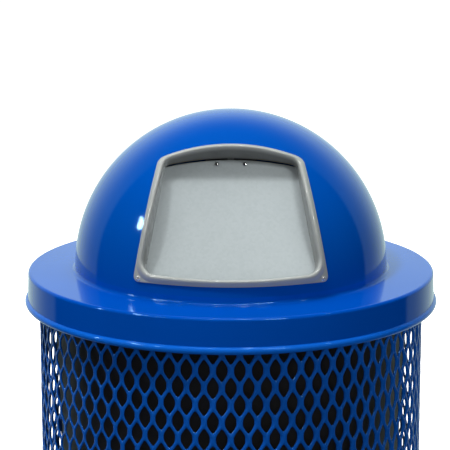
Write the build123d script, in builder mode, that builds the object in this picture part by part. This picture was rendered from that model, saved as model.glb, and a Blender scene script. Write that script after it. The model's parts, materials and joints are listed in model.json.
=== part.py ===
from build123d import *
import os
from math import cos, radians, sin, sqrt, tan

# Book drop box: a dome lid with a push door, on a round expanded-metal receptacle.
# Millimetres, +Z up, front towards -Y, origin on the floor under the centre.

# ---- driving dimensions -------------------------------------------------
wall_radius = 305.0          # outside of the expanded-metal wall, 24 in body
body_height = 838.0          # floor to the top ring's top face, 33 in
foot_height = 32.0
sheet = 1.9                  # lid sheet steel, 14 gauge
seat_gap = 0.3               # coating thickness between the lid and the top ring

flange_radius = 323.0        # skirt's outside at the top
skirt_radius = 324.5         # skirt's outside just above the bead
skirt_height = 55.0          # flange top down to the bead's underside
bead_radius = 6.0            # rolled bead's section
bead_outer_radius = 328.7
flange_edge_radius = 5.0

dome_radius = 248.7
dome_rise = 4.0              # dome centre above the flange top
neck_height = 12.0           # top of the rim's upturned neck above the flange top
neck_fillet = 6.0

door_tilt = 30.0             # door leans back from vertical
door_distance = 183.5        # door face from the flange centre, along its normal
door_sheet = 1.5
door_swing_gap = 1.0         # door face to the throat's rear rim

mesh_facets = 24
cells_per_facet = 3
mesh_thickness = 2.5
cell_height = 54.0           # long way of the mesh
bond_width = 8.5             # where two strands join
bond_length = 15.3           # solid length between two openings of one column
strand_slope = 13.5          # rise of a strand over half an opening's width

ring_sheet = 3.0
ring_leg = 35.0
liner_bottom_radius = 250.0
liner_top_radius = 284.0
liner_wall = 3.0

flange_top = body_height + seat_gap + sheet
dome_centre = flange_top + dome_rise

os.makedirs("parts", exist_ok=True)


def save(part, name):
    """Label one finished piece and write its STEP file."""
    part.label = name
    export_step(part, "parts/" + name + ".step")


# The door's plane: its origin is the foot of the normal from the flange centre,
# local x runs along +X and local y runs up the door.
normal_y = -cos(radians(door_tilt))
normal_z = sin(radians(door_tilt))
door_plane = Plane(
    origin=(0, door_distance * normal_y, flange_top + door_distance * normal_z),
    x_dir=(1, 0, 0),
    z_dir=(0, normal_y, normal_z),
)

# ---- outlines in the door's plane ----------------------------------------
# Each is a trapezoid with arched top and bottom: (half width, height) corners,
# the arches' crown heights, and the corner radii.
lip_outline = dict(bottom=(147.9, -78.5), top=(110.8, 113.8), crown=130.6,
                   sag=-100.4, top_radius=16.0, bottom_radius=10.0)
mouth_outline = dict(bottom=(138.5, -70.0), top=(102.0, 107.5), crown=122.0,
                     sag=-91.5, top_radius=12.0, bottom_radius=12.0)
throat_outline = dict(bottom=(129.5, -64.0), top=(99.5, 106.6), crown=118.6,
                      sag=-85.0, top_radius=10.0, bottom_radius=14.0)
door_outline = dict(bottom=(133.5, -68.0), top=(103.3, 104.0), crown=116.2,
                    sag=-89.0, top_radius=8.0, bottom_radius=15.0)
throat_wall = 2.0


def outline(plane, shape, grow=0.0):
    """Closed sketch of one outline, grown outwards by a constant amount."""
    half_bottom, bottom_y = shape["bottom"]
    half_top, top_y = shape["top"]
    with BuildSketch(plane) as sketch:
        with BuildLine():
            ThreePointArc((-half_top, top_y), (0, shape["crown"]), (half_top, top_y))
            Line((half_top, top_y), (half_bottom, bottom_y))
            ThreePointArc((half_bottom, bottom_y), (0, shape["sag"]), (-half_bottom, bottom_y))
            Line((-half_bottom, bottom_y), (-half_top, top_y))
        make_face()
        fillet(sketch.vertices().group_by(Axis.Y)[-1], shape["top_radius"])
        fillet(sketch.vertices().group_by(Axis.Y)[0], shape["bottom_radius"])
        if grow:
            offset(amount=grow)
    return sketch.sketch


# ---- pop rivets at the bezel's lower corners: where they sit, and their holes ---
lip_height = 3.0             # lip's face above the dome
rivet_shank = 2.0
rivet_hole = rivet_shank + 0.05
rivet_reach = 12.0           # drilled this far each way from the lip's face
rivet_head = 3.4
rivet_head_height = 1.4
rivet_tail = 2.6             # blind end, behind the sheet
rivet_tail_height = 2.5
rivet_tail_gap = 0.3         # coating between the sheet and the blind end
rivet_overlap = 0.1          # shank runs this far into the blind end
rivet_spots = [(-139.5, -76.0), (139.5, -76.0)]


def lip_plane(across, up):
    """Plane on the lip's face, square to the dome, at a point of the door's plane."""
    offset_up = up - dome_rise * cos(radians(door_tilt))
    reach = sqrt((dome_radius + lip_height)**2 - across**2 - offset_up**2)
    local = (across, up, reach + dome_rise * sin(radians(door_tilt)) - door_distance)
    point = door_plane.from_local_coords(Vector(*local))
    return Plane(origin=point, z_dir=point - Vector(0, 0, dome_centre))


rivet_planes = [lip_plane(across, up) for across, up in rivet_spots]
with BuildPart() as rivet_holes:
    with BuildSketch(*rivet_planes):
        Circle(rivet_hole)
    extrude(amount=rivet_reach, both=True)

# ---- lid: dome -------------------------------------------------------------
lip_cover = 5.0              # dome edge hidden under the bezel's lip
dome_trim = dome_radius + 1  # a little more than the dome, to cut it level at the neck
with BuildPart() as dome_shell:
    with BuildSketch(Plane.XZ):
        with Locations((0, dome_centre)):
            Circle(dome_radius)
            Circle(dome_radius - sheet, mode=Mode.SUBTRACT)
        with Locations((0, flange_top + neck_height)):
            Rectangle(dome_trim, dome_trim, align=(Align.MIN, Align.MIN),
                      mode=Mode.INTERSECT)
    revolve(axis=Axis.Z)
    dome_cut = outline(door_plane, lip_outline, -lip_cover)
    extrude(dome_cut, amount=dome_radius, mode=Mode.SUBTRACT)
    extrude(dome_cut, amount=-neck_height, mode=Mode.SUBTRACT)
    add(rivet_holes.part, mode=Mode.SUBTRACT)
save(dome_shell.part, "dome_shell")

# ---- lid: rim with neck, flange, flared skirt and rolled bead ---------------
neck_radius = sqrt(dome_radius**2 - (neck_height - dome_rise)**2)
bead_centre = (bead_outer_radius - bead_radius, flange_top - skirt_height + bead_radius)
with BuildPart() as lid_rim:
    with BuildSketch(Plane.XZ):
        with BuildLine():
            neck_foot = (neck_radius, flange_top)
            flange_corner = (flange_radius, flange_top)
            FilletPolyline(
                (neck_radius, flange_top + neck_height),
                neck_foot,
                flange_corner,
                (skirt_radius, bead_centre[1]),
                radius=[neck_fillet, flange_edge_radius],
            )
            Line((skirt_radius, bead_centre[1]), (skirt_radius - sheet, bead_centre[1]))
            FilletPolyline(
                (skirt_radius - sheet, bead_centre[1]),
                (flange_radius - sheet, flange_top - sheet),
                (neck_radius - sheet, flange_top - sheet),
                (neck_radius - sheet, flange_top + neck_height),
                radius=[flange_edge_radius - sheet, neck_fillet + sheet],
            )
            Line((neck_radius - sheet, flange_top + neck_height),
                 (neck_radius, flange_top + neck_height))
        make_face()
        with Locations(bead_centre):
            Circle(bead_radius)
    revolve(axis=Axis.Z)
save(lid_rim.part, "lid_rim")

# ---- lid: bezel, a lip on the dome and a drafted throat behind it -----------
crest_height = 6.0           # throat's front edge above the dome
throat_back = door_swing_gap
throat_front = dome_radius + crest_height - door_distance
with BuildPart() as dome_ball:
    with Locations((0, 0, dome_centre)):
        Sphere(dome_radius)
with BuildPart() as lip_ball:
    with Locations((0, 0, dome_centre)):
        Sphere(dome_radius + lip_height)
with BuildPart() as crest_ball:
    with Locations((0, 0, dome_centre)):
        Sphere(dome_radius + crest_height)

with BuildPart() as bezel_lip:
    extrude(outline(door_plane, lip_outline), amount=throat_front)
    extrude(outline(door_plane, lip_outline), amount=-neck_height)
    add(lip_ball.part, mode=Mode.INTERSECT)
    add(dome_ball.part, mode=Mode.SUBTRACT)
with BuildPart() as throat_tube:
    outline_back = outline(door_plane.offset(throat_back), throat_outline, throat_wall)
    outline_front = outline(door_plane.offset(throat_front), mouth_outline, throat_wall)
    loft([outline_back, outline_front])
    add(crest_ball.part, mode=Mode.INTERSECT)
with BuildPart() as throat_hole:
    outline_back = outline(door_plane.offset(throat_back), throat_outline)
    outline_front = outline(door_plane.offset(throat_front), mouth_outline)
    loft([outline_back, outline_front])
with BuildPart() as door_bezel:
    add(bezel_lip.part)
    add(throat_tube.part)
    add(throat_hole.part, mode=Mode.SUBTRACT)
    add(rivet_holes.part, mode=Mode.SUBTRACT)
save(door_bezel.part, "door_bezel")

# ---- lid: pop rivets ---------------------------------------------------------
rivet_grip = lip_height + sheet
with BuildPart() as bezel_rivets:
    with BuildSketch(*rivet_planes):
        Circle(rivet_head)
        Circle(rivet_shank / 2, mode=Mode.SUBTRACT)
    extrude(amount=rivet_head_height)
    with BuildSketch(*rivet_planes):
        Circle(rivet_shank)
        Circle(rivet_shank / 2, mode=Mode.SUBTRACT)
    extrude(amount=-rivet_grip - rivet_tail_gap - rivet_overlap)
    with BuildSketch(*[plane.offset(-rivet_grip - rivet_tail_gap) for plane in rivet_planes]):
        Circle(rivet_tail)
    extrude(amount=-rivet_tail_height)
save(bezel_rivets.part, "bezel_rivets")

# ---- lid: locating tabs that centre the lid inside the top ring -------------
tab_radius = 292.5
tab_width = 30.0
tab_drop = 38.0
tab_flange = 12.0
tab_count = 4
tab_angle = 45.0
tab_plane = Plane.XY.offset(flange_top - sheet)
with BuildPart() as lid_locating_tabs:
    with BuildSketch(tab_plane):
        with PolarLocations(tab_radius, tab_count, start_angle=tab_angle):
            Rectangle(ring_sheet, tab_width, align=(Align.MIN, Align.CENTER))
    extrude(amount=-tab_drop)
    with BuildSketch(tab_plane):
        with PolarLocations(tab_radius, tab_count, start_angle=tab_angle):
            Rectangle(tab_flange, tab_width, align=(Align.MAX, Align.CENTER))
    extrude(amount=-ring_sheet)
save(lid_locating_tabs.part, "lid_locating_tabs")

# ---- hinge behind the bezel's ceiling ---------------------------------------
pin_up = 121.0               # pin's place in the door's plane: up, and behind its face
pin_back = 6.5
pin_radius = 2.5
pin_half = 40.0              # half of the pin's length
pin_cap_radius = 4.0
pin_cap_sheet = 1.5
knuckle_radius = 4.2
knuckle_bore = pin_radius + 0.1
leaf_sheet = 1.5
frame_knuckle = (7.0, 21.5)
door_knuckle = (22.0, 38.0)
pin_origin = door_plane.from_local_coords(Vector(0, pin_up, -pin_back))
pin_plane = Plane(origin=pin_origin, x_dir=(0, normal_y, normal_z), z_dir=(1, 0, 0))

with BuildPart() as hinge_pin:
    with BuildSketch(pin_plane):
        Circle(pin_radius)
    extrude(amount=pin_half, both=True)
    with BuildSketch(pin_plane.offset(pin_half - pin_cap_sheet), pin_plane.offset(-pin_half)):
        Circle(pin_cap_radius)
    extrude(amount=pin_cap_sheet)
save(hinge_pin.part, "hinge_pin")


def knuckles(span):
    """The two knuckles of one hinge leaf, left and right, as one part."""
    start, end = span
    with BuildPart() as pair:
        with BuildSketch(pin_plane.offset(start), pin_plane.offset(-end)):
            Circle(knuckle_radius)
            Circle(knuckle_bore, mode=Mode.SUBTRACT)
        extrude(amount=end - start)
    return pair.part


with BuildPart() as pin_bore:
    with BuildSketch(pin_plane):
        Circle(knuckle_bore)
    extrude(amount=pin_half, both=True)

frame_leaf_up = pin_up + knuckle_radius
frame_leaf_front = 20.0
frame_leaf_back = 2.0
frame_knuckle_middle = sum(frame_knuckle) / 2
frame_knuckle_width = frame_knuckle[1] - frame_knuckle[0]
with BuildPart() as hinge_frame_leaf:
    with BuildSketch(door_plane.offset(frame_leaf_front)):
        with Locations((0, frame_leaf_up)):
            Rectangle(2 * pin_half, leaf_sheet, align=(Align.CENTER, Align.MAX))
    extrude(amount=frame_leaf_back - frame_leaf_front)
    with BuildSketch(door_plane.offset(frame_leaf_back)):
        with Locations((-frame_knuckle_middle, frame_leaf_up), (frame_knuckle_middle, frame_leaf_up)):
            Rectangle(frame_knuckle_width, leaf_sheet, align=(Align.CENTER, Align.MAX))
    extrude(amount=-frame_leaf_back - pin_back)
    add(knuckles(frame_knuckle))
    add(pin_bore.part, mode=Mode.SUBTRACT)
save(hinge_frame_leaf.part, "hinge_frame_leaf")

# ---- door: panel, hinge leaf, rivets, closer spring ---------------------------
door_rivet_spots = [(-21.5, 108.8), (21.5, 108.8)]
door_rivet_head = 4.0
door_rivet_dome = 2.4        # height of the head
door_rivet_taper = 30
door_rivet_tail = 3.0
door_rivet_tail_height = 1.4
with BuildPart() as door_panel:
    extrude(outline(door_plane, door_outline), amount=-door_sheet)
    with BuildSketch(door_plane):
        with Locations(*door_rivet_spots):
            Circle(rivet_shank)
    extrude(amount=-door_sheet, mode=Mode.SUBTRACT)
save(door_panel.part, "door_panel")

leaf_back = door_sheet + leaf_sheet
door_knuckle_middle = sum(door_knuckle) / 2
door_knuckle_width = door_knuckle[1] - door_knuckle[0]
leaf_gap = 2.0               # door leaf's top edge below the knuckles
leaf_height = 20.0
leaf_top = pin_up - knuckle_radius - leaf_gap
with BuildPart() as hinge_door_leaf:
    with BuildSketch(door_plane.offset(-leaf_back)):
        with Locations((0, leaf_top)):
            Rectangle(2 * door_knuckle[1], leaf_height, align=(Align.CENTER, Align.MAX))
        with Locations((-door_knuckle_middle, leaf_top), (door_knuckle_middle, leaf_top)):
            Rectangle(door_knuckle_width, pin_up - leaf_top, align=(Align.CENTER, Align.MIN))
        with Locations(*door_rivet_spots):
            Circle(rivet_shank, mode=Mode.SUBTRACT)
    extrude(amount=leaf_sheet)
    add(knuckles(door_knuckle))
    add(pin_bore.part, mode=Mode.SUBTRACT)
save(hinge_door_leaf.part, "hinge_door_leaf")

with BuildPart() as door_rivets:
    with BuildSketch(door_plane):
        with Locations(*door_rivet_spots):
            Circle(rivet_shank)
    extrude(amount=-leaf_back)
    with BuildSketch(door_plane):
        with Locations(*door_rivet_spots):
            Circle(door_rivet_head)
    extrude(amount=door_rivet_dome, taper=door_rivet_taper)
    with BuildSketch(door_plane.offset(-leaf_back)):
        with Locations(*door_rivet_spots):
            Circle(door_rivet_tail)
    extrude(amount=-door_rivet_tail_height)
save(door_rivets.part, "door_rivets")

spring_wire = 1.5
spring_half = 5.5
spring_leg = 18.0
spring_leg_drop = 3.0        # leg's top below the pin
with BuildPart() as closer_spring:
    with BuildSketch(pin_plane):
        Circle(knuckle_radius)
        Circle(knuckle_radius - spring_wire, mode=Mode.SUBTRACT)
    extrude(amount=spring_half, both=True)
    with BuildSketch(door_plane.offset(-leaf_back)):
        with Locations((spring_half, pin_up - spring_leg_drop)):
            Rectangle(spring_wire, spring_leg, align=(Align.MAX, Align.MAX))
    extrude(amount=-spring_wire)
save(closer_spring.part, "closer_spring")

# ---- receptacle: rings, base plate, wall stays ----------------------------------
ring_inner = 299.4
ring_lip_inner = 297.0       # top ring's inner edge
ring_lip_width = 9.0
bottom_flange_inner = 262.0
bottom_flange_width = 44.0
wall_top = body_height - ring_sheet
wall_foot = foot_height + ring_sheet
plate_top = wall_foot + ring_sheet
foot_circle = 283.0
foot_count = 4
foot_angle = 45.0
bolt_radius = 5.0            # M10
bolt_hole = 5.3
with BuildPart() as top_ring:
    with BuildSketch(Plane.XZ):
        with Locations((ring_lip_inner, wall_top)):
            Rectangle(ring_lip_width, ring_sheet, align=(Align.MIN, Align.MIN))
        with Locations((ring_inner, wall_top)):
            Rectangle(ring_sheet, ring_leg - ring_sheet, align=(Align.MIN, Align.MAX))
    revolve(axis=Axis.Z)
save(top_ring.part, "top_ring")

with BuildPart() as bottom_ring:
    with BuildSketch(Plane.XZ):
        with Locations((bottom_flange_inner, foot_height)):
            Rectangle(bottom_flange_width, ring_sheet, align=(Align.MIN, Align.MIN))
        with Locations((ring_inner, wall_foot)):
            Rectangle(ring_sheet, ring_leg - ring_sheet, align=(Align.MIN, Align.MIN))
    revolve(axis=Axis.Z)
    with BuildSketch(Plane.XY.offset(foot_height)):
        with PolarLocations(foot_circle, foot_count, start_angle=foot_angle):
            Circle(bolt_hole)
    extrude(amount=ring_sheet, mode=Mode.SUBTRACT)
save(bottom_ring.part, "bottom_ring")

plate_radius = 298.5
anchor_hole = 7.15           # for an M12 or half-inch floor anchor
drain_hole = 9.0
drain_circle = 130.0
drain_count = 8
drain_angle = 22.5
with BuildPart() as base_plate:
    with BuildSketch(Plane.XY.offset(wall_foot)):
        Circle(plate_radius)
        Circle(anchor_hole, mode=Mode.SUBTRACT)
        with PolarLocations(drain_circle, drain_count, start_angle=drain_angle):
            Circle(drain_hole, mode=Mode.SUBTRACT)
        with PolarLocations(foot_circle, foot_count, start_angle=foot_angle):
            Circle(bolt_hole, mode=Mode.SUBTRACT)
    extrude(amount=ring_sheet)
save(base_plate.part, "base_plate")

stay_width = 30.0
stay_count = 2
with BuildPart() as wall_stays:
    with BuildSketch(Plane.XY.offset(wall_foot + ring_leg - ring_sheet)):
        with PolarLocations(ring_inner, stay_count):
            Rectangle(ring_sheet, stay_width, align=(Align.MIN, Align.CENTER))
    extrude(amount=wall_top - wall_foot - 2 * (ring_leg - ring_sheet))
save(wall_stays.part, "wall_stays")

seam_width = 40.0
seam_sheet = 1.5
with BuildPart() as seam_strip:
    with BuildSketch(Plane.XY.offset(wall_foot)):
        with Locations((0, wall_radius)):
            Rectangle(seam_width, seam_sheet, align=(Align.CENTER, Align.MIN))
    extrude(amount=wall_top - wall_foot)
save(seam_strip.part, "seam_strip")

# ---- receptacle: expanded-metal wall, as flat facets round the rings -------------
facet_gap = 0.1              # between two neighbouring facets
facet_angle = 360.0 / mesh_facets
facet_inner = wall_radius - mesh_thickness
facet_width = 2 * facet_inner * tan(radians(facet_angle / 2)) - facet_gap
cell_width = facet_width / cells_per_facet
mesh_height = wall_top - wall_foot
mesh_rows = round(mesh_height / cell_height)
row_pitch = mesh_height / mesh_rows
half_open = (cell_width - bond_width) / 2
side_half = (row_pitch - bond_length - 2 * strand_slope) / 2
tip_half = side_half + strand_slope
cell_corners = [(half_open, side_half), (0, tip_half), (-half_open, side_half),
                (-half_open, -side_half), (0, -tip_half), (half_open, -side_half)]
with BuildPart() as mesh_facet:
    with BuildSketch(Plane(origin=(facet_inner, 0, wall_foot + mesh_height / 2),
                           x_dir=(0, 1, 0), z_dir=(1, 0, 0))):
        Rectangle(facet_width, mesh_height)
        with GridLocations(cell_width, row_pitch, cells_per_facet, mesh_rows + 1):
            Polygon(*cell_corners, mode=Mode.SUBTRACT)
        with GridLocations(cell_width, row_pitch, cells_per_facet + 1, mesh_rows):
            Polygon(*cell_corners, mode=Mode.SUBTRACT)
    extrude(amount=mesh_thickness)
facets = [Rot(0, 0, k * facet_angle) * mesh_facet.part for k in range(mesh_facets)]
mesh_wall = Compound(children=facets)
save(mesh_wall, "mesh_wall")

# ---- receptacle: feet and their fasteners, liner rests ----------------------------
foot_radius = 21.0
foot_chamfer = 2.5
recess_radius = 12.0
recess_depth = 14.0
bolt_reach = 13.0            # bolt's end above the base plate
bolt_top = plate_top + bolt_reach
bolt_clearance = 0.1
thread_clearance = 0.05
head_half = 8.0              # half of the 16 mm across flats
head_height = 6.4
washer_radius = 10.0
washer_sheet = 2.0
nut_height = 8.0
with BuildPart() as feet:
    with BuildSketch():
        with PolarLocations(foot_circle, foot_count, start_angle=foot_angle):
            Circle(foot_radius)
    extrude(amount=foot_height)
    chamfer(feet.edges().group_by(Axis.Z)[0], foot_chamfer)
    with BuildSketch():
        with PolarLocations(foot_circle, foot_count, start_angle=foot_angle):
            Circle(recess_radius)
    extrude(amount=recess_depth, mode=Mode.SUBTRACT)
    with BuildSketch():
        with PolarLocations(foot_circle, foot_count, start_angle=foot_angle):
            Circle(bolt_radius + bolt_clearance)
    extrude(amount=foot_height, mode=Mode.SUBTRACT)
save(feet.part, "feet")

with BuildPart() as foot_bolts:
    with BuildSketch(Plane.XY.offset(recess_depth)):
        with PolarLocations(foot_circle, foot_count, start_angle=foot_angle):
            RegularPolygon(head_half, 6, major_radius=False)
    extrude(amount=-head_height)
    with BuildSketch(Plane.XY.offset(recess_depth)):
        with PolarLocations(foot_circle, foot_count, start_angle=foot_angle):
            Circle(bolt_radius)
    extrude(amount=bolt_top - recess_depth)
save(foot_bolts.part, "foot_bolts")

with BuildPart() as foot_washers:
    with BuildSketch(Plane.XY.offset(plate_top)):
        with PolarLocations(foot_circle, foot_count, start_angle=foot_angle):
            Circle(washer_radius)
            Circle(bolt_radius + bolt_clearance, mode=Mode.SUBTRACT)
    extrude(amount=washer_sheet)
save(foot_washers.part, "foot_washers")

with BuildPart() as foot_nuts:
    with BuildSketch(Plane.XY.offset(plate_top + washer_sheet)):
        with PolarLocations(foot_circle, foot_count, start_angle=foot_angle):
            RegularPolygon(head_half, 6, major_radius=False)
            Circle(bolt_radius + thread_clearance, mode=Mode.SUBTRACT)
    extrude(amount=nut_height)
save(foot_nuts.part, "foot_nuts")

rest_height = 30.0
rest_circle = 185.0
rest_size = (40.0, 70.0)
rest_corner = 6.0
rest_count = 4
with BuildPart() as liner_rests:
    with BuildSketch(Plane.XY.offset(plate_top)):
        with PolarLocations(rest_circle, rest_count):
            RectangleRounded(*rest_size, rest_corner)
    extrude(amount=rest_height)
save(liner_rests.part, "liner_rests")

# ---- liner -----------------------------------------------------------------------
liner_foot = plate_top + rest_height
liner_recess = 12.0          # liner's rim below the top ring's face
liner_top = body_height - liner_recess
rim_width = 7.0
rim_drop = 18.0
slot_size = (110.0, 34.0)
slot_corner = 10.0
slot_depth = 60.0            # hand slots' middle below the rim
with BuildPart() as liner_shell:
    with BuildSketch(Plane.XZ):
        with BuildLine():
            Polyline(
                (0, liner_foot),
                (liner_bottom_radius, liner_foot),
                (liner_top_radius, liner_top - liner_wall),
                (liner_top_radius + rim_width - liner_wall, liner_top - liner_wall),
                (liner_top_radius + rim_width - liner_wall, liner_top - rim_drop),
                (liner_top_radius + rim_width, liner_top - rim_drop),
                (liner_top_radius + rim_width, liner_top),
                (liner_top_radius - liner_wall, liner_top),
                (liner_bottom_radius - liner_wall, liner_foot + liner_wall),
                (0, liner_foot + liner_wall),
                close=True,
            )
        make_face()
    revolve(axis=Axis.Z)
    with BuildSketch(Plane.YZ):
        with Locations((0, liner_top - slot_depth)):
            RectangleRounded(*slot_size, slot_corner)
    extrude(amount=liner_top_radius + rim_width, both=True, mode=Mode.SUBTRACT)
save(liner_shell.part, "liner_shell")
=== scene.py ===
import json
import math

import bmesh
import bpy
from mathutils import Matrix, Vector


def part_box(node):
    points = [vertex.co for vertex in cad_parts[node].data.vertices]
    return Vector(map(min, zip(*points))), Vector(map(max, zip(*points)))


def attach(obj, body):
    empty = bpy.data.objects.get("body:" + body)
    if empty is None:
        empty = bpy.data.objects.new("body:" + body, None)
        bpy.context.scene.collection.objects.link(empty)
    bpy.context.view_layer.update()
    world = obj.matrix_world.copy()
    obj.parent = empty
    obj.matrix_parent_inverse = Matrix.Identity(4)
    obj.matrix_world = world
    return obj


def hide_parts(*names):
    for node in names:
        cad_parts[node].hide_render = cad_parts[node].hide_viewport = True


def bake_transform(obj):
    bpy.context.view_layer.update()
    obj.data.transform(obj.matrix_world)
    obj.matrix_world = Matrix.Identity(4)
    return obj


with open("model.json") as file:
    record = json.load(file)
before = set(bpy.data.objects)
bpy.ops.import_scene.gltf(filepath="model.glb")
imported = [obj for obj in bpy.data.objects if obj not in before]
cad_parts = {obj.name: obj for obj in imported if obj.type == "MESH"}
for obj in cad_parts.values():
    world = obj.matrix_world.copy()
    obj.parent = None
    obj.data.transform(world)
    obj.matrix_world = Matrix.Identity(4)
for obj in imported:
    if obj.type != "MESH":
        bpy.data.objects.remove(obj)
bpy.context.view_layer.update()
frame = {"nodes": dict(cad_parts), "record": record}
nodes = frame["nodes"]

# ---- places read from the frame (metres, +Z up, front towards -Y) ----------------
rim_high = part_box("lid_rim")[1]
NECK_HEIGHT = 0.012
FLANGE_TOP = rim_high.z - NECK_HEIGHT
RIM_RADIUS = rim_high.x
DOME_RISE = 0.004     # the dome's centre above the flange's top
DOME_CENTRE = Vector((0.0, 0.0, FLANGE_TOP + DOME_RISE))
DOME_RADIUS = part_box("dome_shell")[1].z - DOME_CENTRE.z


# ---- camera ------------------------------------------------------------------------
def add_camera():
    """A long lens in front of the lid; the flange's centre falls a little right of and below the middle."""
    distance = 3.5
    elevation = math.radians(13.62)
    lens_mm, sensor_mm = 174.9688, 36.0
    right_mm, below_mm = 0.48, 3.3112     # the flange's centre on the sensor, from its middle
    data = bpy.data.cameras.new("camera")
    data.sensor_width = sensor_mm
    data.lens = lens_mm
    data.clip_end = 200.0
    camera = bpy.data.objects.new("camera", data)
    bpy.context.scene.collection.objects.link(camera)
    flange_centre = Vector((0.0, 0.0, FLANGE_TOP))
    camera.location = flange_centre + distance * Vector((0.0, -math.cos(elevation), math.sin(elevation)))
    turn = math.atan(right_mm / lens_mm)
    tilt = math.atan(below_mm / lens_mm)
    camera.rotation_euler = (math.radians(90) - elevation + tilt, 0.0, turn)
    bpy.context.scene.camera = camera


add_camera()


# ---- node helpers --------------------------------------------------------------------
class Nodes:
    """A material's node tree, with short calls for the nodes that the materials here share."""

    def __init__(self, name):
        self.material = bpy.data.materials.new(name)
        self.material.use_nodes = True
        self.tree = self.material.node_tree
        self.shader = self.tree.nodes["Principled BSDF"]
        self.place = self.add("ShaderNodeTexCoord").outputs["Object"]

    def add(self, kind, **settings):
        node = self.tree.nodes.new(kind)
        for key, value in settings.items():
            if key[0].isupper():
                node.inputs[key.replace("_", " ")].default_value = value
            else:
                setattr(node, key, value)
        return node

    def link(self, out, into):
        self.tree.links.new(out, into)

    def noise(self, scale, detail=2.0):
        node = self.add("ShaderNodeTexNoise", Scale=scale, Detail=detail, Roughness=0.5)
        self.link(self.place, node.inputs["Vector"])
        return node.outputs["Fac"]

    def ramp(self, value, low, high, low_out, high_out):
        node = self.add("ShaderNodeMapRange")
        self.link(value, node.inputs["Value"])
        node.inputs["From Min"].default_value = low
        node.inputs["From Max"].default_value = high
        node.inputs["To Min"].default_value = low_out
        node.inputs["To Max"].default_value = high_out
        return node.outputs["Result"]

    def drift(self, scale):
        """A slow change of tone over the surface, from 0 to 1."""
        return self.ramp(self.noise(scale, 3.0), 0.3, 0.7, 0.0, 1.0)

    def mix(self, factor, first, second):
        node = self.add("ShaderNodeMix", data_type="RGBA")
        self.link(factor, node.inputs["Factor"])
        for socket, value in ((node.inputs[6], first), (node.inputs[7], second)):
            if isinstance(value, tuple):
                socket.default_value = value
            else:
                self.link(value, socket)
        return node.outputs[2]

    def bump(self, height, strength, distance):
        node = self.add("ShaderNodeBump", Strength=strength, Distance=distance)
        self.link(height, node.inputs["Height"])
        return node.outputs["Normal"]

    def set(self, **values):
        """Give inputs of the shader a fixed value."""
        for key, value in values.items():
            self.shader.inputs[key.replace("_", " ")].default_value = value

    def drive(self, **outputs):
        """Link a node's output to each named input of the shader."""
        for key, output in outputs.items():
            self.link(output, self.shader.inputs[key.replace("_", " ")])


def rgb(red, green, blue):
    return (red, green, blue, 1.0)


# ---- materials -------------------------------------------------------------------------
HIGHLIGHT_FADE = 0.001     # half the height over which the painted highlight on the rolled edge fades in


def powder_coat(name, blue=1.0, highlight_height=0.0):
    """Glossy royal-blue powder coat with slight orange peel; blue scales its blue, and below the given
    height, if any, it is painted lighter as a painted highlight.
    """
    m = Nodes(name)
    m.set(Roughness=0.075, IOR=1.5, Specular_Tint=rgb(0.27, 0.66, 1.0))
    coat = m.mix(m.drift(3.5), rgb(0.0, 0.056, 0.315 * blue), rgb(0.0, 0.062, 0.345 * blue))
    # Painted highlight: below this height the coat is coloured lighter, standing in for the rolled bead's
    # reflected highlight.
    if highlight_height:
        place = m.add("ShaderNodeSeparateXYZ")
        m.link(m.place, place.inputs[0])
        above = m.ramp(place.outputs["Z"], highlight_height - HIGHLIGHT_FADE, highlight_height + HIGHLIGHT_FADE, 0.0, 1.0)
        coat = m.mix(above, rgb(0.004, 0.11, 0.55), coat)
    m.drive(Base_Color=coat, Normal=m.bump(m.noise(240.0), 0.045, 0.0006))
    return m.material


def mesh_coat():
    """Thick, slightly lumpy plastic coating on the expanded metal."""
    m = Nodes("blue_mesh_plastic")
    m.set(Roughness=0.16, IOR=1.5, Specular_Tint=rgb(0.3, 0.62, 1.0))
    coat = m.mix(m.drift(6.0), rgb(0.002, 0.072, 0.37), rgb(0.004, 0.085, 0.43))
    m.drive(Base_Color=coat, Normal=m.bump(m.noise(110.0, 3.0), 0.12, 0.0008))
    return m.material


def grey_coat():
    """Glossy grey coat of the bezel: its own tone on what stands out of the dome, and painted shade, a darker
    tone, inside the opening.
    """
    unshaded_above, shade_depth = 0.004, 0.006     # from the dome's surface
    m = Nodes("bezel_grey_coat")
    m.set(Roughness=0.06, IOR=1.5)
    drift = m.drift(9.0)
    offset = m.add("ShaderNodeVectorMath", operation="DISTANCE")
    m.link(m.place, offset.inputs[0])
    offset.inputs[1].default_value = DOME_CENTRE
    # Painted shade: below the dome's surface, inside the opening, the coat turns darker where shade falls.
    unshaded_share = m.ramp(offset.outputs["Value"], DOME_RADIUS - shade_depth, DOME_RADIUS + unshaded_above, 0.0, 1.0)
    painted_shade_grey = m.mix(drift, rgb(0.15, 0.158, 0.154), rgb(0.175, 0.184, 0.178))
    unshaded_grey = m.mix(drift, rgb(0.30, 0.318, 0.305), rgb(0.34, 0.358, 0.345))
    m.drive(Base_Color=m.mix(unshaded_share, painted_shade_grey, unshaded_grey), Normal=m.bump(m.noise(300.0), 0.05, 0.0005))
    return m.material


def galvanised():
    """Worn zinc sheet, with a fine spangle in its tone and its gloss."""
    m = Nodes("galvanised_sheet")
    m.set(Metallic=0.5)
    cells = m.add("ShaderNodeTexVoronoi", Scale=260.0)
    m.link(m.place, cells.inputs["Vector"])
    grain = m.add("ShaderNodeSeparateColor")
    m.link(cells.outputs["Color"], grain.inputs["Color"])
    spangle = grain.outputs["Red"]
    zinc = m.mix(spangle, rgb(0.39, 0.44, 0.45), rgb(0.43, 0.48, 0.49))
    m.drive(Base_Color=zinc, Roughness=m.ramp(spangle, 0.0, 1.0, 0.42, 0.58))
    return m.material


def black_liner():
    m = Nodes("black_liner_plastic")
    m.set(Roughness=0.45)
    plastic = m.mix(m.noise(6.0), rgb(0.010, 0.010, 0.011), rgb(0.016, 0.016, 0.017))
    m.drive(Base_Color=plastic, Normal=m.bump(m.noise(420.0), 0.12, 0.0004))
    return m.material


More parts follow.
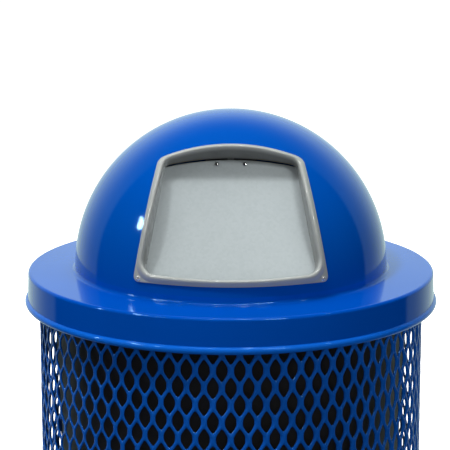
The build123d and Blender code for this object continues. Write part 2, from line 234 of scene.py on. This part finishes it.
def bright_metal(name, tone, roughness, metallic):
    m = Nodes(name)
    m.set(Metallic=metallic)
    dark = tone * 0.9
    metal = m.mix(m.noise(160.0), rgb(dark, dark, dark), rgb(tone, tone, tone))
    wear = m.ramp(m.noise(90.0), 0.3, 0.7, roughness * 0.8, roughness * 1.2)
    m.drive(Base_Color=metal, Roughness=wear)
    return m.material


def rubber():
    m = Nodes("black_rubber")
    m.set(Roughness=0.75)
    black = m.mix(m.noise(40.0), rgb(0.016, 0.016, 0.016), rgb(0.03, 0.03, 0.03))
    m.drive(Base_Color=black, Normal=m.bump(m.noise(600.0), 0.2, 0.0004))
    return m.material


ROLLED_EDGE_TOP = FLANGE_TOP - 0.0435
BLUE = powder_coat("blue_powder_coat")
# The rim pan's coat is a brighter copy of the dome's blue (painted light), and its rolled bead is painted
# lighter below ROLLED_EDGE_TOP (a painted highlight).
RIM_BLUE = powder_coat("blue_rim_painted_light", 1.12, ROLLED_EDGE_TOP)
MESH_BLUE = mesh_coat()
GREY = grey_coat()
DOOR = galvanised()
LINER = black_liner()
RIVET = bright_metal("aluminium_rivet", 0.85, 0.2, 0.65)
POLISHED = bright_metal("polished_rivet", 0.97, 0.04, 1.0)
ZINC = bright_metal("zinc_plate", 0.62, 0.32, 0.8)
SHADE_DARK_STEEL = bright_metal("painted_shade_steel", 0.04, 0.4, 0.6)
SPRING = bright_metal("spring_wire", 0.3, 0.3, 0.9)
RUBBER = rubber()

BY_SLOT = {
    "blue_powder_coat": BLUE,
    "blue_mesh_coating": MESH_BLUE,
    "grey_bezel": GREY,
    "galvanised_steel": DOOR,
    "rivet_metal": RIVET,
    "zinc_steel": ZINC,
    "spring_steel": SPRING,
    "rubber": RUBBER,
    "black_plastic": LINER,
}
for entry in frame["record"]["subparts"]:
    mesh = nodes[entry["node"]].data
    mesh.materials.clear()
    mesh.materials.append(BY_SLOT[entry["material_slot"]])
# Painted shade: the hinge leaves and pin get a near-black steel so that the gap above the door reads dark.
for name in ("hinge_frame_leaf", "hinge_door_leaf", "hinge_pin"):
    nodes[name].data.materials[0] = SHADE_DARK_STEEL


# ---- outlines in the door's plane ---------------------------------------------------
# Trapezoids with an arched top and bottom. Corners are (half width, height) before they are rounded;
# crown and sag are the heights of the two arches on the centre line.
DOOR_TILT = math.radians(30)
DOOR_DISTANCE = 0.1835
ACROSS = Vector((1.0, 0.0, 0.0))
UP = Vector((0.0, math.sin(DOOR_TILT), math.cos(DOOR_TILT)))
OUT = Vector((0.0, -math.cos(DOOR_TILT), math.sin(DOOR_TILT)))
FLANGE_CENTRE = Vector((0.0, 0.0, FLANGE_TOP))
LIP = dict(bottom=(0.1479, -0.0785), top=(0.1108, 0.1138), crown=0.1306, sag=-0.1004,
           top_radius=0.016, bottom_radius=0.010)
BEAD = dict(bottom=(0.1464, -0.0776), top=(0.1098, 0.1127), crown=0.1294, sag=-0.0992,
            top_radius=0.017, bottom_radius=0.030)
MOUTH = dict(bottom=(0.1365, -0.0680), top=(0.1010, 0.1060), crown=0.1208, sag=-0.0900,
             top_radius=0.015, bottom_radius=0.024)
THROAT = dict(bottom=(0.1295, -0.0640), top=(0.0995, 0.1066), crown=0.1186, sag=-0.0850,
              top_radius=0.010, bottom_radius=0.016)


def arch_circle(half, corner_y, crown_y):
    """Centre height and radius of the circle through both corners and the crown."""
    rise = crown_y - corner_y
    radius = (half * half + rise * rise) / (2 * abs(rise))
    return crown_y - math.copysign(radius, rise), radius


def rounded_corner(corner, other, centre_y, radius, corner_radius):
    """Fillet between the right-hand side line and an arch, as its centre and two end points."""
    corner, other = Vector(corner), Vector(other)
    along = (other - corner).normalized()
    inward = Vector((-along.y, along.x))
    if inward.x > 0:
        inward = -inward
    start = corner + inward * corner_radius
    arch = Vector((0.0, centre_y))
    offset = start - arch
    reach = radius - corner_radius
    half_b = offset.dot(along)
    root = math.sqrt(half_b * half_b - (offset.length_squared - reach * reach))
    distance = min((-half_b + root, -half_b - root), key=abs)
    middle = start + along * distance
    on_line = middle - inward * corner_radius
    on_arch = arch + (middle - arch).normalized() * radius
    return middle, on_line, on_arch


def arc_points(centre, start, end, count):
    """Points from start towards end round centre, end left out, along the shorter way."""
    a = start - centre
    b = end - centre
    first = math.atan2(a.y, a.x)
    sweep = math.remainder(math.atan2(b.y, b.x) - first, 2 * math.pi)
    radius = a.length
    points = []
    for k in range(count):
        angle = first + sweep * k / count
        points.append(centre + radius * Vector((math.cos(angle), math.sin(angle))))
    return points


ARCH_STEPS, CORNER_STEPS, SIDE_STEPS = 24, 10, 20


def outline(shape):
    """Closed loop of (across, up) points, the same count for every shape, from the crown rightwards."""
    top_y, top_radius = arch_circle(*shape["top"], shape["crown"])
    bottom_y, bottom_radius = arch_circle(*shape["bottom"], shape["sag"])
    top_mid, top_line, top_arch = rounded_corner(
        shape["top"], shape["bottom"], top_y, top_radius, shape["top_radius"])
    low_mid, low_line, low_arch = rounded_corner(
        shape["bottom"], shape["top"], bottom_y, bottom_radius, shape["bottom_radius"])
    half = arc_points(Vector((0, top_y)), Vector((0, shape["crown"])), top_arch, ARCH_STEPS)
    half += arc_points(top_mid, top_arch, top_line, CORNER_STEPS)
    half += [top_line.lerp(low_line, k / SIDE_STEPS) for k in range(SIDE_STEPS)]
    half += arc_points(low_mid, low_line, low_arch, CORNER_STEPS)
    half += arc_points(Vector((0, bottom_y)), low_arch, Vector((0, shape["sag"])), ARCH_STEPS)
    half.append(Vector((0, shape["sag"])))
    return half + [Vector((-p.x, p.y)) for p in reversed(half[1:-1])]


def on_plane(point, out):
    """The place of a point of the door's plane, moved out along the plane's normal."""
    return FLANGE_CENTRE + ACROSS * point.x + UP * point.y + OUT * (DOOR_DISTANCE + out)


def above_dome(point, height):
    """The place above a point of the door's plane where the dome, grown by height, lies."""
    base = on_plane(point, -DOOR_DISTANCE) - DOME_CENTRE
    radius = DOME_RADIUS + height
    along = base.dot(OUT)
    reach = math.sqrt(along * along - base.length_squared + radius * radius)
    return DOME_CENTRE + base + OUT * (reach - along)


# ---- mesh helpers ----------------------------------------------------------------------
def new_piece(name, verts, faces, material, body, slot, *replaced, smooth_deg=35.0):
    """A visible piece that rides on a body, or on none yet, in place of the CAD nodes it replaces."""
    mesh = bpy.data.meshes.new(name)
    mesh.from_pydata([tuple(v) for v in verts], [], faces)
    mesh.validate()
    mesh.materials.append(material)
    bm = bmesh.new()
    bm.from_mesh(mesh)
    bmesh.ops.recalc_face_normals(bm, faces=bm.faces)
    bm.to_mesh(mesh)
    bm.free()
    mesh.shade_smooth()
    mesh.set_sharp_from_angle(angle=math.radians(smooth_deg))
    piece = bpy.data.objects.new(name, mesh)
    bpy.context.scene.collection.objects.link(piece)
    if body:
        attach(piece, body)
    if replaced:
        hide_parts(*replaced)
    return piece


def loops_to_mesh(loops, closed_rows=False):
    """Vertices and quads that join loops of equal length; closed_rows joins the last to the first."""
    count = len(loops[0])
    verts = [p for loop in loops for p in loop]
    rows = len(loops)
    faces = []
    for r in range(rows if closed_rows else rows - 1):
        a, b = r * count, (r + 1) % rows * count
        for k in range(count):
            n = (k + 1) % count
            faces.append((a + k, a + n, b + n, b + k))
    return verts, faces


def lathe(profile, segments):
    """Vertices and quads of a closed (radius, z) profile turned round the Z axis."""
    angles = [2 * math.pi * k / segments for k in range(segments)]
    loops = [[Vector((radius * math.cos(a), radius * math.sin(a), z)) for a in angles]
             for radius, z in profile]
    return loops_to_mesh(loops, closed_rows=True)


# ---- bezel: thin lip, round bead and drafted throat, swept round the opening --------------
# Rows are (share of the way between two outlines, height above the dome in millimetres).
LIP_ROWS = [(0.9, 0.0), (0.8, 1.0), (0.1, 1.1), (0.0, 1.4), (0.0, 2.0), (0.12, 2.4), (0.5, 2.5), (0.9, 2.5)]
BEAD_ROWS = [(0.0, 2.5), (0.03, 2.9), (0.08, 3.7), (0.15, 4.7), (0.24, 5.6), (0.34, 6.3), (0.45, 6.7),
             (0.56, 6.6), (0.66, 6.1), (0.76, 5.3), (0.85, 4.2), (0.92, 2.9), (0.97, 1.6), (1.0, 0.4)]
UNDERSIDE_ROWS = [(0.86, -3.0), (0.60, 0.0)]
BEZEL_SHEET = 0.0014
THROAT_GAP, THROAT_STEPS = 0.001, 10
BEZEL_SMOOTH_DEG = 60.0


def dome_loops(rows, start, end):
    """One loop over the dome for each row, between two outlines."""
    return [[above_dome(a.lerp(b, share), height / 1000) for a, b in zip(start, end)]
            for share, height in rows]


def bezel_loops():
    """The bezel's section as loops round the opening: lip, bead, throat, and back under the lip."""
    lip, bead, mouth, throat = outline(LIP), outline(BEAD), outline(MOUTH), outline(THROAT)
    loops = dome_loops(LIP_ROWS, lip, bead) + dome_loops(BEAD_ROWS, bead, mouth)
    front = loops[-1]
    back = [on_plane(p, THROAT_GAP) for p in throat]
    back_outer = [on_plane(p * ((p.length + BEZEL_SHEET) / p.length), THROAT_GAP) for p in throat]
    for k in range(1, THROAT_STEPS + 1):
        share = k / THROAT_STEPS
        ease = 0.5 * share + 0.5 * math.sin(share * math.pi / 2)
        loops.append([a.lerp(b, share) + (b - a).dot(ACROSS) * ACROSS * (ease - share)
                      for a, b in zip(front, back)])
    return loops + [back_outer] + dome_loops(UNDERSIDE_ROWS, lip, mouth)


new_piece("bezel_frame", *loops_to_mesh(bezel_loops(), closed_rows=True), GREY,
          "lid", "grey_bezel", "door_bezel", smooth_deg=BEZEL_SMOOTH_DEG)


# ---- lid rim: neck, flange, flared skirt and a rolled bead -------------------------------
def fillet_arc(before, corner, after, radius, steps):
    """Points of a fillet of the corner in a (radius, z) profile."""
    a = (before - corner).normalized()
    b = (after - corner).normalized()
    half_angle = a.angle(b) / 2
    reach = radius / math.tan(half_angle)
    centre = corner + (a + b).normalized() * (radius / math.sin(half_angle))
    return arc_points(centre, corner + a * reach, corner + b * reach, steps) + [corner + b * reach]


SHEET = 0.0019
SKIRT_HEIGHT, BEAD_RADIUS, SKIRT_RADIUS, FLANGE_RADIUS = 0.055, 0.006, 0.3245, 0.323
SKIRT_FOOT_IN, SKIRT_FOOT_RISE = 0.0002, BEAD_RADIUS * 0.95     # from the skirt's radius, the bead's centre
NECK_FILLET, EDGE_FILLET = 0.006, 0.005
NECK_STEPS, EDGE_STEPS, INNER_STEPS = 10, 14, 8
CURL_START, CURL_END, CURL_STEPS = math.radians(68), math.radians(-235), 26
NECK_RADIUS = math.sqrt(DOME_RADIUS**2 - (NECK_HEIGHT - DOME_RISE)**2)


def rim_profile():
    """Closed (radius, z) outline of the spun sheet: its outer face downwards, then its inner face back up."""
    neck_top = Vector((NECK_RADIUS, FLANGE_TOP + NECK_HEIGHT))
    neck_foot = Vector((NECK_RADIUS, FLANGE_TOP))
    edge = Vector((FLANGE_RADIUS, FLANGE_TOP))
    bead = Vector((RIM_RADIUS - BEAD_RADIUS, FLANGE_TOP - SKIRT_HEIGHT + BEAD_RADIUS))
    skirt_foot = Vector((SKIRT_RADIUS - SKIRT_FOOT_IN, bead.y + SKIRT_FOOT_RISE))
    outer = [neck_top] + fillet_arc(neck_top, neck_foot, edge, NECK_FILLET, NECK_STEPS)
    outer += fillet_arc(neck_foot, edge, skirt_foot, EDGE_FILLET, EDGE_STEPS) + [skirt_foot]
    curl = []
    for k in range(CURL_STEPS + 1):
        angle = CURL_START + (CURL_END - CURL_START) * k / CURL_STEPS
        curl.append(Vector((math.cos(angle), math.sin(angle))))
    outer += [bead + BEAD_RADIUS * spoke for spoke in curl]
    inner = [bead + (BEAD_RADIUS - SHEET) * spoke for spoke in reversed(curl)]
    drop = Vector((-SHEET, 0.0))
    inner.append(skirt_foot + drop)
    low_edge = edge + Vector((-SHEET, -SHEET))
    low_foot = neck_foot + Vector((-SHEET, -SHEET))
    inner += fillet_arc(skirt_foot + drop, low_edge, low_foot, EDGE_FILLET - SHEET, INNER_STEPS)
    inner += fillet_arc(low_edge, low_foot, neck_top + drop, NECK_FILLET + SHEET, INNER_STEPS)
    inner.append(neck_top + drop)
    return outer + inner


RIM_SEGMENTS = 360
new_piece("rim_pan", *lathe(rim_profile(), RIM_SEGMENTS), RIM_BLUE,
          "lid", "blue_powder_coat", "lid_rim", smooth_deg=50.0)


# ---- rivets ----------------------------------------------------------------------------
def lathe_on(profile, segments, place, axis):
    """A closed (radius, height) profile turned round an axis through a place."""
    turn = axis.to_track_quat("Z", "Y").to_matrix().to_4x4()
    verts, faces = lathe([Vector(p) for p in profile], segments)
    return [place + turn @ v for v in verts], faces


def join(parts):
    """Vertices and faces of several meshes as those of one."""
    verts, faces = [], []
    for part_verts, part_faces in parts:
        start = len(verts)
        verts += part_verts
        faces += [tuple(start + k for k in face) for face in part_faces]
    return verts, faces


POP_RIVET = [(0.0013, 0.0000), (0.0013, 0.0013), (0.0016, 0.0018), (0.0022, 0.0019), (0.0030, 0.0016),
             (0.0037, 0.0010), (0.0040, 0.0004), (0.0040, -0.0002), (0.0020, -0.0002), (0.0020, -0.0053),
             (0.0026, -0.0060), (0.0023, -0.0074), (0.0012, -0.0076)]     # (radius, height)
POP_RIVET_SEGMENTS, DOOR_RIVET_SEGMENTS = 32, 36
RIVET_ACROSS, RIVET_UP, LIP_HEIGHT = 0.1395, -0.0760, 0.0025
pop_rivets = []
for side in (-1, 1):
    place = above_dome(Vector((side * RIVET_ACROSS, RIVET_UP)), LIP_HEIGHT)
    pop_rivets.append(lathe_on(POP_RIVET, POP_RIVET_SEGMENTS, place, place - DOME_CENTRE))
new_piece("pop_rivets", *join(pop_rivets), RIVET, "lid", "rivet_metal", "bezel_rivets")

HEAD_RADIUS, HEAD_HEIGHT, HEAD_STEP_DEG = 0.0040, 0.0046, 9
DOME_HEAD = [(HEAD_RADIUS * math.cos(math.radians(a)), HEAD_HEIGHT * math.sin(math.radians(a)))
             for a in range(0, 90, HEAD_STEP_DEG)]
DOOR_RIVET = [(0.0001, -0.0044), (0.0030, -0.0044), (0.0030, -0.0031), (0.0020, -0.0031), (0.0020, 0.0)]
DOOR_RIVET += DOME_HEAD + [(0.0001, HEAD_HEIGHT)]
DOOR_RIVET_ACROSS, DOOR_RIVET_UP = 0.0215, 0.1088
door_rivets = []
for side in (-1, 1):
    place = on_plane(Vector((side * DOOR_RIVET_ACROSS, DOOR_RIVET_UP)), 0.0)
    door_rivets.append(lathe_on(DOOR_RIVET, DOOR_RIVET_SEGMENTS, place, OUT))
new_piece("door_rivet_heads", *join(door_rivets), POLISHED, "door", "rivet_metal", "door_rivets")


# ---- closer spring: wound wire round the hinge pin, a leg on each side ------------------------
PIN_UP, PIN_BACK, COIL_RADIUS, WIRE_RADIUS = 0.121, 0.0065, 0.0037, 0.00062
COIL_HALF, COIL_TURNS, TURN_STEPS = 0.0052, 6.25, 20     # from above the pin to behind it
LID_LEG_REACHES = (0.020, 0.016, 0.012, 0.008, 0.004)     # the fixed leg's points, out from the coil
LEG_BELOW_LEAF = 0.0017     # drop of the fixed leg, so that it lies under the frame leaf
FOOT_OUT, FOOT_DOWN, FOOT_STEPS = 0.00283, 0.022, 6     # the moving leg's end, from the pin
WIRE_SIDES, SPRING_SMOOTH_DEG = 10, 60.0
pin_centre = on_plane(Vector((0.0, PIN_UP)), -PIN_BACK)


def tube(path, radius, sides):
    """A round wire along a path, closed at both ends."""
    verts, faces = [], []
    side = Vector((1.0, 0.0, 0.0))
    for k, point in enumerate(path):
        ahead = path[min(k + 1, len(path) - 1)] - path[max(k - 1, 0)]
        side = ahead.cross(side).cross(ahead).normalized() if ahead.cross(side).length > 1e-9 else side
        lift = ahead.cross(side).normalized()
        for j in range(sides):
            angle = 2 * math.pi * j / sides
            verts.append(point + radius * (math.cos(angle) * side + math.sin(angle) * lift))
    for k in range(len(path) - 1):
        for j in range(sides):
            n = (j + 1) % sides
            faces.append((k * sides + j, k * sides + n, (k + 1) * sides + n, (k + 1) * sides + j))
    faces.append(tuple(range(sides)))
    faces.append(tuple(range((len(path) - 1) * sides, len(path) * sides)))
    return verts, faces


def spring_path():
    """The wire's centre line: the leg under the frame leaf, the coil, and the leg to the door leaf."""
    coil = []
    steps = round(COIL_TURNS * TURN_STEPS)
    for k in range(steps + 1):
        angle = math.pi / 2 + 2 * math.pi * COIL_TURNS * k / steps
        across = -COIL_HALF + 2 * COIL_HALF * k / steps
        spoke = COIL_RADIUS * (math.cos(angle) * OUT + math.sin(angle) * UP)
        coil.append(pin_centre + ACROSS * across + spoke)
    lid_leg = [coil[0] + OUT * reach - UP * LEG_BELOW_LEAF for reach in LID_LEG_REACHES]
    foot = pin_centre + ACROSS * COIL_HALF + OUT * FOOT_OUT - UP * FOOT_DOWN
    door_leg = [coil[-1].lerp(foot, k / FOOT_STEPS) for k in range(1, FOOT_STEPS + 1)]
    return lid_leg + coil + door_leg


spring = new_piece("wound_spring", *tube(spring_path(), WIRE_RADIUS, WIRE_SIDES), SPRING,
                   None, "spring_steel", "closer_spring", smooth_deg=SPRING_SMOOTH_DEG)
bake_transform(spring)


# ---- expanded-metal wall: coated strands with a slight twist ----------------------------------
MESH_COLUMNS, MESH_RADIUS = 144, 0.30375
MESH_LOW, MESH_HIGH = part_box("mesh_wall")[0].z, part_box("mesh_wall")[1].z
MESH_ROWS = 15
MESH_PITCH = (MESH_HIGH - MESH_LOW) / MESH_ROWS
COLUMN_STEP = 2 * math.pi / MESH_COLUMNS
CELL_WIDE = 2 * COLUMN_STEP * MESH_RADIUS
HOLE_WIDE, HOLE_SIDE, HOLE_TIP = 0.0085, 0.0056, 0.0184
HOLE_ROUNDING, EDGE_SPREAD = 0.28, 0.16     # shares of a side taken up by each corner
STRAND_THICK, STRAND_TWIST = 0.0019, 0.0012
STRAND_DEGREES = (-90, -55, -25, 0, 25, 55, 90)     # round the strand, from its back to its front
SECTORS = 4
WELD_GAP = 0.00002


def mesh_cell():
    """One opening's collar as rows of (across, up, out), from the back of its strands to the front."""
    slope = (HOLE_TIP - HOLE_SIDE) / HOLE_WIDE
    half = CELL_WIDE / 2
    gap_up = MESH_PITCH / 2
    line_at_zero = (HOLE_TIP + (gap_up - HOLE_TIP + slope * half)) / 2
    side_up = line_at_zero - slope * half
    hole = [Vector(c) for c in ((HOLE_WIDE, -HOLE_SIDE), (HOLE_WIDE, HOLE_SIDE), (0, HOLE_TIP),
                                (-HOLE_WIDE, HOLE_SIDE), (-HOLE_WIDE, -HOLE_SIDE), (0, -HOLE_TIP))]
    edge = [Vector(c) for c in ((half, -side_up), (half, side_up), (0, line_at_zero),
                                (-half, side_up), (-half, -side_up), (0, -line_at_zero))]
    inner, outer = [], []
    for k in range(len(hole)):
        after = (k + 1) % len(hole)
        start = hole[k].lerp(hole[k - 1], HOLE_ROUNDING)
        end = hole[k].lerp(hole[after], HOLE_ROUNDING)
        inner += [start, (start + 2 * hole[k] + end) / 4, end]
        outer += [edge[k].lerp(edge[k - 1], EDGE_SPREAD), edge[k], edge[k].lerp(edge[after], EDGE_SPREAD)]
    rows = []
    for degrees in STRAND_DEGREES:
        turn = math.radians(degrees)
        share = 1 - math.cos(turn)
        row = []
        for a, b in zip(inner, outer):
            p = a.lerp(b, share)
            twist = -STRAND_TWIST * a.x / HOLE_WIDE * (1 - share)
            row.append((p.x, p.y, STRAND_THICK * math.sin(turn) + twist))
        rows.append(row)
    return rows


def on_wall(point, turn, height):
    """The place of a cell's (across, up, out) point on the round wall, from the cell's turn and height."""
    across, up, out = point
    angle = turn + across / MESH_RADIUS
    radius = MESH_RADIUS + out
    return Vector((radius * math.cos(angle), radius * math.sin(angle), height + up))


def mesh_sector(columns):
    """The cells of some columns of the wall, every other column half a cell higher."""
    rows = mesh_cell()
    cells = []
    for column in columns:
        odd = column % 2
        turn = column * COLUMN_STEP
        for j in range(MESH_ROWS + 1 - odd):
            height = MESH_LOW + (j + odd / 2) * MESH_PITCH
            cells.append(loops_to_mesh([[on_wall(p, turn, height) for p in row] for row in rows]))
    return join(cells)


def trim(piece, low, high):
    """Cut a piece off below and above two heights."""
    bm = bmesh.new()
    bm.from_mesh(piece.data)
    bmesh.ops.remove_doubles(bm, verts=bm.verts, dist=WELD_GAP)
    for height, side in ((low, -1), (high, 1)):
        everything = bm.verts[:] + bm.edges[:] + bm.faces[:]
        bmesh.ops.bisect_plane(bm, geom=everything, plane_co=(0, 0, height), plane_no=(0, 0, side),
                               clear_outer=True)
    bm.to_mesh(piece.data)
    bm.free()
    piece.data.shade_smooth()


per_sector = MESH_COLUMNS // SECTORS
for sector in range(SECTORS):
    columns = range(sector * per_sector, (sector + 1) * per_sector)
    replaced = ["mesh_wall"] if sector == 0 else []
    panel = new_piece("mesh_panel_%d" % (sector + 1), *mesh_sector(columns), MESH_BLUE,
                      "receptacle", "blue_mesh_coating", *replaced, smooth_deg=180.0)
    trim(panel, MESH_LOW, MESH_HIGH)


# ---- stage: floor, world, lights ----------------------------------------------------------
FLOOR_REACH = 30.0     # from the middle to each side


def add_floor():
    bm = bmesh.new()
    bmesh.ops.create_grid(bm, x_segments=1, y_segments=1, size=FLOOR_REACH)
    mesh = bpy.data.meshes.new("floor")
    bm.to_mesh(mesh)
    bm.free()
    floor = bpy.data.objects.new("floor", mesh)
    bpy.context.scene.collection.objects.link(floor)
    m = Nodes("pale_floor")
    m.set(Base_Color=rgb(0.9, 0.9, 0.9), Roughness=0.9)
    m.set(Emission_Color=rgb(1.0, 1.0, 1.0), Emission_Strength=0.97)
    mesh.materials.append(m.material)
    floor.visible_glossy = False
    floor.visible_diffuse = False


def add_world():
    """White to the camera; in reflections a white backdrop behind the object, dark in front."""
    world = bpy.data.worlds.new("studio")
    bpy.context.scene.world = world
    world.use_nodes = True
    tree = world.node_tree

    def node(kind, **settings):
        made = tree.nodes.new(kind)
        for key, value in settings.items():
            setattr(made, key, value)
        return made

    def ramp(value, low, high, low_out, high_out):
        made = node("ShaderNodeMapRange", interpolation_type="SMOOTHSTEP")
        tree.links.new(value, made.inputs["Value"])
        made.inputs["From Min"].default_value = low
        made.inputs["From Max"].default_value = high
        made.inputs["To Min"].default_value = low_out
        made.inputs["To Max"].default_value = high_out
        return made.outputs["Result"]

    def mix(factor, first, second):
        made = node("ShaderNodeMix", data_type="FLOAT")
        tree.links.new(factor, made.inputs[0])
        for socket, value in ((made.inputs[2], first), (made.inputs[3], second)):
            if isinstance(value, float):
                socket.default_value = value
            else:
                tree.links.new(value, socket)
        return made.outputs[0]

    # The direction of a ray: Y grows towards the back and Z upwards.
    split = node("ShaderNodeSeparateXYZ")
    tree.links.new(node("ShaderNodeTexCoord").outputs["Generated"], split.inputs[0])
    edge = ramp(split.outputs["Y"], 0.38, 0.45, 0.0, 0.36)
    rise = ramp(split.outputs["Y"], 0.48, 0.95, 0.0, 0.58)
    both = node("ShaderNodeMath", operation="ADD")
    tree.links.new(edge, both.inputs[0])
    tree.links.new(rise, both.inputs[1])
    low_part = ramp(split.outputs["Z"], 0.30, 0.85, 1.0, 0.12)
    backdrop = node("ShaderNodeMath", operation="MULTIPLY")
    tree.links.new(both.outputs[0], backdrop.inputs[0])
    tree.links.new(low_part, backdrop.inputs[1])
    path = node("ShaderNodeLightPath")
    seen = mix(path.outputs["Is Glossy Ray"], 0.15, backdrop.outputs[0])
    seen = mix(path.outputs["Is Camera Ray"], seen, 1.0)
    background = tree.nodes["Background"]
    tone = node("ShaderNodeMix", data_type="RGBA")
    tree.links.new(path.outputs["Is Glossy Ray"], tone.inputs[0])
    tone.inputs[6].default_value = rgb(1.0, 1.0, 1.0)
    tone.inputs[7].default_value = rgb(0.78, 1.0, 0.94)
    tree.links.new(tone.outputs[2], background.inputs["Color"])
    tree.links.new(seen, background.inputs["Strength"])


LID_CENTRE = Vector((0.0, 0.0, FLANGE_TOP + 0.1))
WINDOW_DISTANCE = 3.5


def add_area(name, place, width, height, power, glossy=True, diffuse=True):
    """A rectangular light that faces the lid and isn't seen by the camera."""
    data = bpy.data.lights.new(name, "AREA")
    data.shape = "RECTANGLE"
    data.size = width
    data.size_y = height
    data.energy = power
    light = bpy.data.objects.new(name, data)
    bpy.context.scene.collection.objects.link(light)
    light.location = place
    light.rotation_euler = (LID_CENTRE - Vector(place)).to_track_quat("-Z", "Y").to_euler()
    light.visible_camera = False
    light.visible_glossy = glossy
    light.visible_diffuse = diffuse


def add_window(name, azimuth, elevation, width, height, radiance):
    """A small bright light seen only in reflections; azimuth 0 is in front, positive to the right."""
    turn, lift = math.radians(azimuth), math.radians(elevation)
    direction = Vector((math.cos(lift) * math.sin(turn), -math.cos(lift) * math.cos(turn), math.sin(lift)))
    power = radiance * math.pi * width * height
    add_area(name, LID_CENTRE + WINDOW_DISTANCE * direction, width, height, power, diffuse=False)


add_floor()
add_world()
add_area("key", (-1.20, -1.20, 4.12), 0.4, 0.4, 92.0, glossy=False)
add_area("overhead", (0.0, 0.2, 4.2), 2.4, 2.4, 108.0, glossy=False)
add_area("fill_front", (0.4, -3.8, 1.0), 2.4, 1.4, 12.0, glossy=False)
add_area("fill_left", (-3.2, -1.9, 1.6), 1.6, 2.4, 31.0, glossy=False)
add_area("fill_right", (2.8, -2.6, 1.8), 1.6, 2.4, 36.0, glossy=False)
add_area("fill_back", (0.5, 3.6, 2.4), 2.4, 2.4, 70.0, glossy=False)
add_window("window_left", -78.5, 25.0, 0.24, 0.30, 60.0)
add_window("window_left_high", -80.5, 27.6, 0.16, 0.10, 60.0)
add_window("window_left_low", -77.5, 22.2, 0.12, 0.08, 60.0)
add_window("window_far_left", -57.0, 38.0, 0.45, 0.22, 50.0)
add_window("window_near_left", -43.0, 38.0, 0.22, 0.20, 50.0)
add_window("window_right", 27.0, 38.0, 0.65, 0.24, 60.0)
add_window("window_lip_left", -68.0, 46.0, 0.08, 0.36, 110.0)
add_window("window_lip_right", 66.0, 46.0, 0.10, 0.30, 25.0)
add_window("window_front_left", -20.0, 72.0, 0.16, 0.22, 60.0)
add_window("window_front_right", 17.0, 72.0, 0.28, 0.22, 60.0)
add_window("softbox_front", 0.0, 66.0, 2.4, 0.6, 3.2)

bpy.context.scene.view_settings.view_transform = "Standard"
